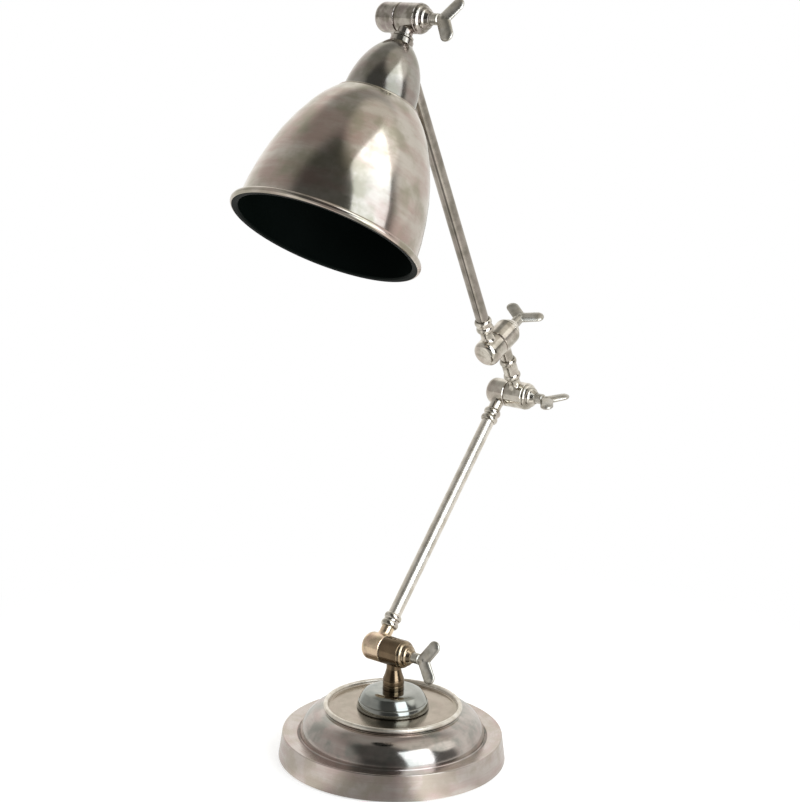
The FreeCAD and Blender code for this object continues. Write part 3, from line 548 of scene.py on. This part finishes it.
def foot_bun():
    """Round bun on the plate: a belt below, a small step, and a domed top."""
    seat = PLATE_TOP + SEAT_GAP
    belt = [(ROD_HOLE, seat), (26.5, seat), (26.9, 39.6, "ccw", 14), (25.9, 44.2)]
    step = [(25.1, 44.6)]
    dome = [(25.4, 45.1, "ccw", 28), (21.6, 51.1, "ccw", 12), (14, BUN_TOP), (ROD_HOLE, BUN_TOP)]
    lathe("foot_bun", "base", UPRIGHT, belt + step + dome, "base_bun",
          [turned_metal(POLISHED, "bun", UPRIGHT)], steps=128)


def foot_stem():
    """Stem with two turned grooves that narrows into the neck of the base hinge."""
    seat = BUN_TOP + SEAT_GAP
    grooved = [(ROD_HOLE, seat), (8, seat), (8, 56.6), (7.6, 57), (8, 57.4), (8, 60.6), (7.6, 61)]
    waist = [(8, 61.4, "cw", 40), (5.5, 69.2)]
    bore = [(4.1, 69.2), (4.1, 61.4), (ROD_HOLE, 61.4)]
    lathe("foot_stem", "base", UPRIGHT, grooved + waist + bore, "stem",
          [turned_metal(BRONZED, "stem", UPRIGHT)], steps=64)


def foot():
    foot_cover()
    foot_bun()
    foot_stem()


# ---------------------------------------------------------------- arms

TUBE_RADIUS, TUBE_BORE = 5, 4
TUBE_START = 22.3
COLLAR_HOLE, LINK_COLLAR_HOLE = 5.06, 4.1
COLLAR_START = 17
FAR_RING, LINK_FAR_RING = 22.9, 30.4
# A ring bulges between two edges of this radius.
RING_RADIUS = 5.8
RING_HEIGHT = 4.6
RING_CURVE = 3.4


def ringed(bore, *starts):
    """The outline of a collar with one round ring from each of these heights."""
    rings = []
    for start in starts:
        rings += [(RING_RADIUS, start, "ccw", RING_CURVE), (RING_RADIUS, start + RING_HEIGHT)]
    return [(bore, starts[0])] + rings + [(bore, starts[-1] + RING_HEIGHT)]


def collar(label, body, spot, outline):
    """A turned collar on a tube or neck."""
    lathe(f"{label}_rings", body, spot, outline, f"{label}_collar",
          [turned_metal(TURNED, label, spot)], steps=48, round_off=0.15)


def arm(name, spot, length, look):
    """A tube with a collar at each end."""
    end = length - TUBE_START
    outline = [(TUBE_BORE, TUBE_START), (TUBE_RADIUS, TUBE_START), (TUBE_RADIUS, end), (TUBE_BORE, end)]
    lathe(f"{name}_drawn_tube", name, spot, outline, f"{name}_tube",
          [turned_metal(look, name, spot)], steps=64, round_off=0.1)
    along = spot.to_3x3() @ Z
    far = place(spot @ Vector((0, 0, length * MM)), -along, X)
    for side, end_spot in (("bottom", spot), ("top", far)):
        collar(f"{name}_{side}", name, end_spot, ringed(COLLAR_HOLE, COLLAR_START, FAR_RING))


def arms():
    lower_length = (pin_point("elbow") - pin_point("base")).length / MM
    # The lower tube gets the lighter copy of the silver: painted light.
    arm("lower_arm", LOWER_ARM, lower_length, LIT)
    upper_length = (pin_point("head") - offset - UPPER_ARM.translation).length / MM
    # The upper tube gets the darker copy of the silver: painted shade.
    arm("upper_arm", UPPER_ARM, upper_length, SHADED)
    collar("link", "link", LINK, ringed(LINK_COLLAR_HOLE, COLLAR_START, LINK_FAR_RING))


# ---------------------------------------------------------------- hinges

HINGE_BODIES = {"base": "base", "elbow": "link", "twist": "link", "head": "head"}
NOSE_LOOKS = {"base": BRASSED, "elbow": TURNED, "twist": TURNED, "head": DULLED}
NOSE_OUTLINE = [
    (2.6, 16.5), (10.3, 16.5, "ccw", 3.2), (8.3, 19.4),
    (7.7, 19.65), (8, 19.9, "ccw", 2.8), (6.2, 22.5),
    (4.6, 25.1), (2.6, 25.1),
]

# Radius, low end and high end of a wing screw's shank, collar and neck.
WING_ROUNDS = ((2.45, -13, 26), (4, 25.2, 31.4), (2.9, 31, 35))
WING_HUB = 34.8
HUB_SIZE = (3.6, 3.1, 2.9)
WING_LEAN = math.radians(56)
# Height above the hub, and half sizes, of the balls at a wing's root and tip.
WING_BALLS = ((0, (5, 2.6, 4.6)), (13.6, (5, 2.1, 5)))
# The skin's grid, and how many times it is smoothed.
WING_SKIN = 0.35
WING_SMOOTHING = 6


def add_ball(build, spot, size):
    """A ball with three half sizes in a frame."""
    bmesh.ops.create_uvsphere(build, u_segments=32, v_segments=20, radius=MM,
                              matrix=spot @ Matrix.Diagonal((*size, 1)))


def paddle(spot):
    """One flat wing with round edges, thinner at its tip, along a frame's local Z."""
    build = bmesh.new()
    for height, size in WING_BALLS:
        add_ball(build, Matrix.Translation((0, 0, height * MM)), size)
    hull = bmesh.ops.convex_hull(build, input=build.verts)
    bmesh.ops.delete(build, geom=hull["geom_interior"], context="VERTS")
    return settle(build, "paddle", spot)


def wing_mesh(name, spot):
    """One cast wing screw: shank, collar, a fine neck, and two paddles that melt into a round hub."""
    build = bmesh.new()
    for radius, low, high in WING_ROUNDS:
        middle = Matrix.Translation((0, 0, (low + high) / 2 * MM))
        bmesh.ops.create_cone(build, cap_ends=True, segments=48, radius1=radius * MM, radius2=radius * MM,
                              depth=(high - low) * MM, matrix=middle)
    hub = Matrix.Translation((0, 0, WING_HUB * MM))
    add_ball(build, hub, HUB_SIZE)
    for side in (1, -1):
        build.from_mesh(paddle(hub @ Matrix.Rotation(side * WING_LEAN, 4, "Y")))
    return settle(build, name, spot)


def wing_screw(name, material):
    """A hinge's wing screw, with one smooth skin over all that it is drawn from."""
    mesh = wing_mesh(f"{name}_wings", HINGES[name])
    piece = add_piece(f"{name}_wings", mesh, f"{name}_screw", f"{name}_wing_screw", [material])
    skin = piece.modifiers.new("skin", "REMESH")
    skin.mode = "VOXEL"
    skin.voxel_size = WING_SKIN * MM
    soft = piece.modifiers.new("soft", "SMOOTH")
    soft.iterations = WING_SMOOTHING
    for modifier in (skin, soft):
        with bpy.context.temp_override(object=piece, active_object=piece, selected_objects=[piece]):
            bpy.ops.object.modifier_apply(modifier=modifier.name)
    piece.data.shade_smooth()
    # The polished cap would mirror the fine neck as a dark line that looks like a crack.
    piece.visible_glossy = False


def nose(name):
    """The stepped washer between a hinge and its wing screw."""
    spot = HINGES[name]
    lathe(f"{name}_nose", HINGE_BODIES[name], spot, NOSE_OUTLINE, f"{name}_nose_washer",
          [turned_metal(NOSE_LOOKS[name], f"{name}_nose", spot)], steps=72, round_off=0.15)


def hinges():
    wings = cast_metal(CAST, "wings")
    for name in HINGE_BODIES:
        nose(name)
        wing_screw(name, wings)


# ---------------------------------------------------------------- head

# Heights run from the head hinge towards the shade's mouth.
NIPPLE_HOLE = 4.1
CAP_START = 20.8
SHADE_START = 66
LAMPHOLDER_HOLE = 14.1
# The black starts under the shade's top wall and ends on its lip, at this radius.
BLACK_START = 66.9
BLACK_REACH = 65.4
# A face whose normal leans this much towards the mouth is black too, where it doesn't face the axis.
BLACK_SLOPE = 0.3


def head_cap():
    """Drawn cap, 1 mm thick."""
    crown = [(NIPPLE_HOLE, CAP_START), (8.8, CAP_START, "ccw", 45)]
    side = [(20.5, 37.5, "ccw", 68), (25.2, SHADE_START)]
    inside = [(24.2, SHADE_START, "cw", 67), (19.6, 37.9, "cw", 44), (8.3, 21.8), (NIPPLE_HOLE, 21.8)]
    lathe("head_cap_spun", "head", HEAD, crown + side + inside, "head_cap",
          [turned_metal(CAP, "cap", HEAD)], steps=128)


def head_collar():
    """Collar of two rings between the head hinge's neck and the cap."""
    upper_ring = [(NIPPLE_HOLE, 13.8), (6.8, 13.8), (7.2, 14.2), (7.2, 15.8)]
    waist = [(6.4, 16.2)]
    lower_ring = [(8.2, 17), (8.2, 20.4), (7.8, CAP_START), (NIPPLE_HOLE, CAP_START)]
    lathe("head_collar_rings", "head", HEAD, upper_ring + waist + lower_ring, "head_collar",
          [turned_metal(DULLED, "head_collar", HEAD)], steps=64, round_off=0.15)


def blacken_inside(shade):
    """Give the faces of the shade's hollow its second material."""
    back = HEAD.inverted()
    for face in shade.data.polygons:
        middle = back @ face.center
        normal = back.to_3x3() @ face.normal
        inward = normal.x * middle.x + normal.y * middle.y < 0
        within = math.hypot(middle.x, middle.y) < BLACK_REACH * MM and middle.z > BLACK_START * MM
        if (inward or normal.z > BLACK_SLOPE) and within:
            face.material_index = 1


def head_shade():
    """Spun bell with a bead where it meets the cap and a lip rolled around its mouth."""
    bead = [(26.6, SHADE_START, "ccw", 1.4), (28, 64.6, "ccw", 1.4)]
    bell = [(29.4, SHADE_START, "ccw", 71), (42.7, 84, "ccw", 158), (56.6, 120, "ccw", 196), (62.3, 161.5)]
    lip = [(64.7, 161.8, "ccw", 2.4), (67.1, 164.2, "ccw", 2.4), (64.7, 166.6), (62.3, 166.3), (61.2, 165.5)]
    inside = [(61.2, 161.5, "cw", 195), (55.5, 120, "cw", 157), (41.7, 84.5, "cw", 70), (28.3, 67.1)]
    outline = [(LAMPHOLDER_HOLE, SHADE_START)] + bead + bell + lip + inside + [(LAMPHOLDER_HOLE, 67.1)]
    silver = turned_metal(SPUN, "shade", HEAD)
    enamel = plain_finish("black_enamel", (0.0035, 0.006, 0.005), (0.005, 0.008, 0.007), roughness=0.45,
                          grain=40, depth=0.01, shine=0.02)
    shade = lathe("shade_bell", "head", HEAD, outline, "shade", [silver, enamel], steps=192,
                  round_off=0.3)
    blacken_inside(shade)


def head():
    head_cap()
    head_collar()
    head_shade()


# ---------------------------------------------------------------- finishes of the CAD nodes that stay

def dress(material, *nodes):
    """Give CAD nodes one finish."""
    for node in nodes:
        mesh = frame["nodes"][node].data
        mesh.materials.clear()
        mesh.materials.append(material)


def dress_barrels():
    """The two barrel halves of each hinge, brushed around the hinge's pin."""
    barrels = {
        "base_knuckle": ("base", BRONZED),
        "lower_arm_bottom_knuckle": ("base", GILDED),
        "lower_arm_top_knuckle": ("elbow", TURNED),
        "link_lower_knuckle": ("elbow", TURNED),
        "link_upper_knuckle": ("twist", TURNED),
        "upper_arm_bottom_knuckle": ("twist", TURNED),
        "upper_arm_top_knuckle": ("head", DULLED),
        "head_knuckle": ("head", DULLED),
    }
    for node, (hinge, look) in barrels.items():
        dress(turned_metal(look, node, HINGES[hinge]), node)


def dress_inside():
    """The pieces inside the foot, the hinges and the head, and the gland in the foot's wall."""
    zinc = plain_finish("zinc_plate", (0.55, 0.55, 0.52), (0.62, 0.60, 0.52), roughness=0.35, grain=2,
                        depth=0.01, metallic=1.0)
    dress(zinc, "floor_plate", "plate_screws", "stem_rod", "rod_washer", "rod_nut", "head_nipple",
          "head_lock_nut")
    fibre = plain_finish("pressed_fibre", (0.10, 0.07, 0.05), (0.16, 0.12, 0.09), roughness=0.8, grain=0.4,
                         depth=0.03)
    dress(fibre, *(f"{name}_friction_ring" for name in HINGES))
    iron = plain_finish("sand_casting", (0.05, 0.05, 0.05), (0.09, 0.085, 0.08), roughness=0.75, grain=1.2,
                        depth=0.2, metallic=0.7)
    dress(iron, "base_weight")
    felt = plain_finish("felt", (0.015, 0.015, 0.015), (0.035, 0.034, 0.033), roughness=0.95, grain=0.25,
                        depth=0.15)
    dress(felt, "felt_pad")
    rubber = plain_finish("rubber", (0.012, 0.012, 0.012), (0.022, 0.022, 0.022), roughness=0.6, grain=0.5,
                          depth=0.01)
    dress(rubber, "cord_gland")


def dress_bulb():
    """The bulb and what holds it and the shade."""
    moulded = plain_finish("black_moulding", (0.012, 0.012, 0.012), (0.02, 0.02, 0.02), roughness=0.38,
                           grain=0.6, depth=0.01)
    dress(moulded, "lampholder", "shade_ring")
    brass = plain_finish("pressed_brass", (0.62, 0.46, 0.20), (0.70, 0.54, 0.28), roughness=0.3, grain=1.5,
                         depth=0.01, metallic=1.0)
    dress(brass, "socket_sleeve", "centre_contact")
    rolled = plain_finish("rolled_cap", (0.66, 0.66, 0.64), (0.74, 0.73, 0.70), roughness=0.25, grain=1,
                          depth=0.01, metallic=1.0)
    dress(rolled, "bulb_cap")
    dress(frosted_glass(), "bulb_glass")


def dress_nodes():
    dress_barrels()
    dress_inside()
    dress_bulb()


# ---------------------------------------------------------------- camera

CAMERA_PLACE = Vector((816.19, -1043.41, 575.55)) * MM
CAMERA_YAW = math.radians(38.04)
CAMERA_PITCH = math.radians(12.85)
CAMERA_ROLL = math.radians(1.38)
FOCAL_PIXELS = 1885.5
PICTURE_WIDTH = 800
SENSOR = 36.0
CAMERA_REACH_METRES = 50


def camera():
    data = bpy.data.cameras.new("camera")
    data.sensor_fit = "HORIZONTAL"
    data.sensor_width = SENSOR
    data.lens = FOCAL_PIXELS * SENSOR / PICTURE_WIDTH
    data.clip_end = CAMERA_REACH_METRES
    eye = bpy.data.objects.new("camera", data)
    forward = Vector((-math.sin(CAMERA_YAW) * math.cos(CAMERA_PITCH),
                      math.cos(CAMERA_YAW) * math.cos(CAMERA_PITCH), -math.sin(CAMERA_PITCH)))
    level = Vector((math.cos(CAMERA_YAW), math.sin(CAMERA_YAW), 0))
    upward = level.cross(forward)
    right = level * math.cos(CAMERA_ROLL) + upward * math.sin(CAMERA_ROLL)
    up = upward * math.cos(CAMERA_ROLL) - level * math.sin(CAMERA_ROLL)
    eye.matrix_world = Matrix.Translation(CAMERA_PLACE) @ Matrix((right, up, -forward)).transposed().to_4x4()
    bpy.context.scene.collection.objects.link(eye)
    bpy.context.scene.camera = eye


# ---------------------------------------------------------------- stage and light

def bearing(azimuth, elevation):
    """Unit vector from the lamp; azimuth 0 is towards the camera, positive to its right."""
    angle = CAMERA_YAW + math.radians(azimuth)
    rise = math.radians(elevation)
    return Vector((math.sin(angle) * math.cos(rise), -math.cos(angle) * math.cos(rise), math.sin(rise)))


LIGHT_COLOUR = (0.87, 0.935, 1.0)
FOOT_CENTRE = Vector((0, 0, 0.03))
HEAD_CENTRE = Vector((0.015, -0.08, 0.45))
AT_THE_FOOT = ("foot_cover", "foot_bun", "floor")
AT_THE_HEAD = ("shade_bell", "head_cap_spun")

# Tone of the room, and the painted light and shade of the table's mirror image, as (degrees of azimuth,
# level) stops.
ROOM_LEVELS = [
    (-180, 1.1), (-155, 1.05), (-130, 0.62), (-110, 0.53), (-60, 0.48), (-46, 0.38), (-37, 0.12), (-28, 0.07),
    (4, 0.07), (14, 0.13), (60, 0.13), (83, 0.17), (92, 0.80), (100, 0.94), (112, 0.92), (132, 0.88),
    (155, 0.98), (180, 1.1),
]
PAINTED_TABLE_LIGHT = [
    (-180, 0.95), (-130, 0.88), (-95, 0.74), (-72, 0.74), (-58, 1.0), (-46, 0.94), (-34, 0.46), (-24, 0.37),
    (2, 0.34), (12, 0.60), (20, 1.42), (27, 1.42), (34, 1.15), (44, 1.1), (54, 0.78), (120, 0.85),
    (180, 0.95),
]
CEILING_BEHIND, CEILING_AHEAD = (0.36, 0.355, 0.335), (0.12, 0.12, 0.115)
# Soft round patches: their middle, the cosines between which they fade in, and their tone.
ROOM_PATCHES = [
    (bearing(-14, 50), 0.78, 0.92, (0.10, 0.10, 0.095)),
    (bearing(85, 64), 0.86, 0.96, (0.75, 0.72, 0.66)),
    (bearing(84, 42), 0.95, 0.985, (1.25, 1.23, 1.18)),
]
# A level's share of red, green and blue.
WARM_GREY = (1, 0.985, 0.95)

FLOOR_REACH_METRES = 30
FLOOR_GLOW = 0.62
# Distances in metres between which the table melts into the backdrop.
TABLE_NEAR, TABLE_FAR = 0.12, 0.5


def softbox(name, target, azimuth, elevation, distance, width, height, glare, hidden_from):
    """An even rectangle of light that fills width by height degrees as seen from its target.

    Its distance is in metres, and the pieces that it is hidden from neither get nor mirror it.
    """
    data = bpy.data.lights.new(name, "AREA")
    data.shape = "RECTANGLE"
    data.size = 2 * distance * math.tan(math.radians(width / 2))
    data.size_y = 2 * distance * math.tan(math.radians(height / 2))
    data.energy = math.pi * data.size * data.size_y * glare
    data.color = LIGHT_COLOUR
    lamp = bpy.data.objects.new(name, data)
    lamp.location = target + bearing(azimuth, elevation) * distance
    lamp.rotation_euler = (target - lamp.location).to_track_quat("-Z", "Y").to_euler()
    lamp.visible_camera = False
    bpy.context.scene.collection.objects.link(lamp)
    unlit = bpy.data.collections.new(f"beyond_{name}")
    lamp.light_linking.receiver_collection = unlit
    for number, piece in enumerate(hidden_from):
        unlit.objects.link(bpy.data.objects[piece])
        unlit.collection_objects[number].light_linking.link_state = "EXCLUDE"


def turned_from_camera(graph, way):
    """The azimuth of a way from the lamp, in radians."""
    return graph.math("ARCTAN2", graph.vector("DOT_PRODUCT", way, bearing(90, 0)),
                      graph.vector("DOT_PRODUCT", way, bearing(0, 0)))


def level_ramp(graph, azimuth, levels):
    """Warm grey whose level follows (degrees, level) stops around the lamp."""
    sweep = graph.node("ShaderNodeMapRange", Value=azimuth, From_Min=-math.pi, From_Max=math.pi)
    ramp = graph.node("ShaderNodeValToRGB", Fac=sweep.outputs["Result"])
    elements = ramp.color_ramp.elements
    while len(elements) < len(levels):
        elements.new(0.5)
    for element, (degrees, level) in zip(elements, levels):
        element.position = (degrees + 180) / 360
        element.color = (*(level * share for share in WARM_GREY), 1)
    return ramp.outputs["Color"]


def studio_world():
    """Pale room around the lamp with a dark gap in front of it and a dim ceiling."""
    graph = Graph(bpy.data.worlds.new("studio"), "ShaderNodeOutputWorld")
    way = graph.node("ShaderNodeTexCoord").outputs["Generated"]

    def towards(direction, low, high):
        """How much of the sight goes that way, eased between two cosines."""
        return graph.span(graph.vector("DOT_PRODUCT", way, direction), low, high)

    walls = level_ramp(graph, turned_from_camera(graph, way), ROOM_LEVELS)
    ceiling = graph.mix(towards(bearing(-15, 0), 0.1, 0.5), CEILING_BEHIND, CEILING_AHEAD)
    room = graph.mix(towards(Z, 0.62, 0.86), walls, ceiling)
    for middle, start, full, tone in ROOM_PATCHES:
        room = graph.mix(towards(middle, start, full), room, tone)
    mirrored = graph.node("ShaderNodeBackground", Color=room)
    backdrop = graph.node("ShaderNodeBackground", Color=(1, 1, 1))
    seen = graph.node("ShaderNodeLightPath").outputs["Is Camera Ray"]
    bpy.context.scene.world = graph.finish(graph.mix_shaders(seen, mirrored, backdrop))


def table_finish():
    """White table that takes a faint shadow close to the lamp and melts into the backdrop farther off.

    Metal mirrors it as a glowing table with painted light: a bright band beside the low softbox and painted
    shade in the dark gap.
    """
    graph = material_graph("pale_floor")
    point = graph.node("ShaderNodeTexCoord").outputs["Object"]
    grain = graph.noise(point, scale=per_metre(25), detail=2)
    tone = graph.mix(graph.span(grain, *COMMON_NOISE), (0.80, 0.80, 0.795), (0.82, 0.82, 0.815))
    near = graph.node("ShaderNodeBsdfPrincipled", Base_Color=tone, Roughness=0.6, Emission_Color=(1, 1, 1),
                      Emission_Strength=FLOOR_GLOW)
    far = graph.node("ShaderNodeEmission")
    shown = graph.mix_shaders(graph.span(graph.vector("LENGTH", point), TABLE_NEAR, TABLE_FAR), near, far)
    # Painted light and shade of the table, glowing for mirrored sight only.
    levels = level_ramp(graph, turned_from_camera(graph, point), PAINTED_TABLE_LIGHT)
    mirrored = graph.node("ShaderNodeEmission", Color=levels)
    seen = graph.node("ShaderNodeLightPath").outputs["Is Camera Ray"]
    return graph.finish(graph.mix_shaders(seen, mirrored, shown))


def floor():
    mesh = bpy.data.meshes.new("floor")
    reach = FLOOR_REACH_METRES
    corners = [(-reach, -reach, 0), (reach, -reach, 0), (reach, reach, 0), (-reach, reach, 0)]
    mesh.from_pydata(corners, [], [(0, 1, 2, 3)])
    mesh.materials.append(table_finish())
    plane = bpy.data.objects.new("floor", mesh)
    bpy.context.scene.collection.objects.link(plane)


def stage():
    floor()
    studio_world()
    # Foot and head have lights of their own, so that each shows one clear highlight.
    softbox("foot_light", FOOT_CENTRE, azimuth=35, elevation=27, distance=0.9, width=34, height=54,
            glare=2.7, hidden_from=AT_THE_HEAD)
    softbox("low_head_light", FOOT_CENTRE, azimuth=35, elevation=20, distance=0.9, width=34, height=38,
            glare=2.2, hidden_from=AT_THE_FOOT)
    softbox("high_head_light", HEAD_CENTRE, azimuth=56, elevation=30, distance=0.5, width=38, height=58,
            glare=1.75, hidden_from=AT_THE_FOOT)
    bpy.context.scene.view_settings.view_transform = "Standard"
    bpy.context.scene.view_settings.look = "None"


camera()
foot()
arms()
hinges()
head()
dress_nodes()
stage()
